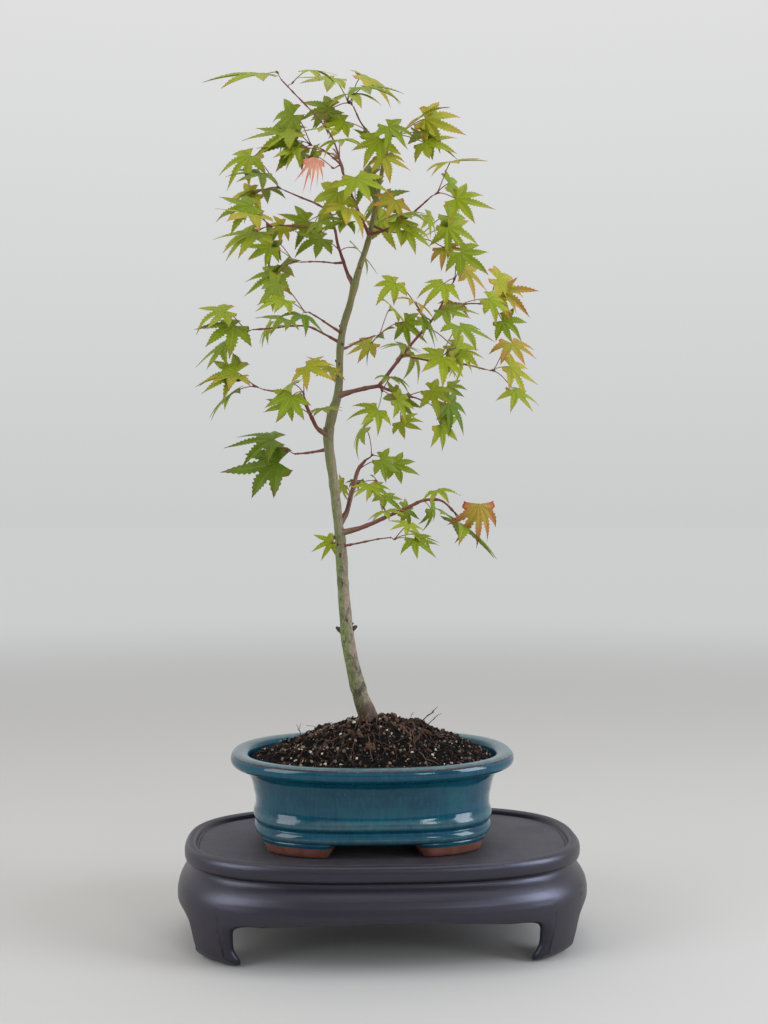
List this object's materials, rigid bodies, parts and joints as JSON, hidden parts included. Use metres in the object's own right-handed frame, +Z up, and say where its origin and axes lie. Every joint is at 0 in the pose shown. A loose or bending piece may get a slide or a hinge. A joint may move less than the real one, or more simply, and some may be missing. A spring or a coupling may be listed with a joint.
{
  "type": "potted japanese maple bonsai",
  "caption": "Young Japanese maple grown as a bonsai, slender leaning trunk with open tiers of lobed leaves, in an oval glazed pot on a low squared-oval display stand with cabriole legs.",
  "frame": {"origin": "centre of the stand's underside, on the level surface it stands on", "axes": "+Z up along the tree, -Y towards the front of the tree, +X to the viewer's right along the length of the pot and stand"},
  "size_m": [0.3664, 0.2404, 0.7855],
  "materials": {
    "trunk_bark": "smooth olive green young bark, lengthwise striations, grey-brown mottling near the ground",
    "bough_bark": "thin reddish-brown young bark",
    "leaf": "thin matte lobed leaves, yellow-green with reddish margins",
    "pot_glaze": "glossy teal streaked glaze over stoneware, bare red clay feet",
    "stand_clay": "satin dark purple-brown unglazed clay",
    "soil": "dark crumbly bark and grit potting mix with fine roots"
  },
  "bodies": {
    "root": {"bough_centre_back": "bough_bark", "bough_foot_arm": "bough_bark", "bough_foot_riser": "bough_bark", "bough_foot_twig": "bough_bark", "bough_left_back": "bough_bark", "bough_left_inner_arm": "bough_bark", "bough_left_leader": "bough_bark", "bough_left_low": "bough_bark", "bough_left_low_arm": "bough_bark", "bough_left_mid": "bough_bark", "bough_left_mid_arm": "bough_bark", "bough_left_shoulder": "bough_bark", "bough_left_whip": "bough_bark", "bough_right_low_arm": "bough_bark", "bough_right_mid": "bough_bark", "bough_right_riser": "bough_bark", "bough_right_shoulder": "bough_bark", "bough_right_shoulder_low": "bough_bark", "bough_right_upper_arm": "bough_bark", "bough_right_wing_arm": "bough_bark", "bough_top_shoot": "bough_bark", "bough_upper_left_arm": "bough_bark", "foliage_centre": "leaf", "foliage_centre_back": "leaf", "foliage_crown_left": "leaf", "foliage_crown_top": "leaf", "foliage_foot_back": "leaf", "foliage_foot_front": "leaf", "foliage_foot_tip": "leaf", "foliage_heart_back": "leaf", "foliage_heart_front": "leaf", "foliage_left_bottom": "leaf", "foliage_left_inner": "leaf", "foliage_left_inner_low": "leaf", "foliage_left_mid": "leaf", "foliage_left_mid_tip": "leaf", "foliage_left_shoulder": "leaf", "foliage_left_tip": "leaf", "foliage_low_centre": "leaf", "foliage_low_middle": "leaf", "foliage_low_right": "leaf", "foliage_right_shoulder": "leaf", "foliage_right_shoulder_low": "leaf", "foliage_right_tip": "leaf", "foliage_right_top": "leaf", "foliage_right_upper_tip": "leaf", "foliage_right_wing": "leaf", "foliage_top_middle": "leaf", "foliage_top_right": "leaf", "foliage_upper_left": "leaf", "foliage_upper_left_low": "leaf", "pot": "pot_glaze", "soil": "soil", "stand_apron": "stand_clay", "stand_leg_1": "stand_clay", "stand_leg_2": "stand_clay", "stand_leg_3": "stand_clay", "stand_leg_4": "stand_clay", "stand_top": "stand_clay", "trunk": "trunk_bark"}
  },
  "joints": []
}
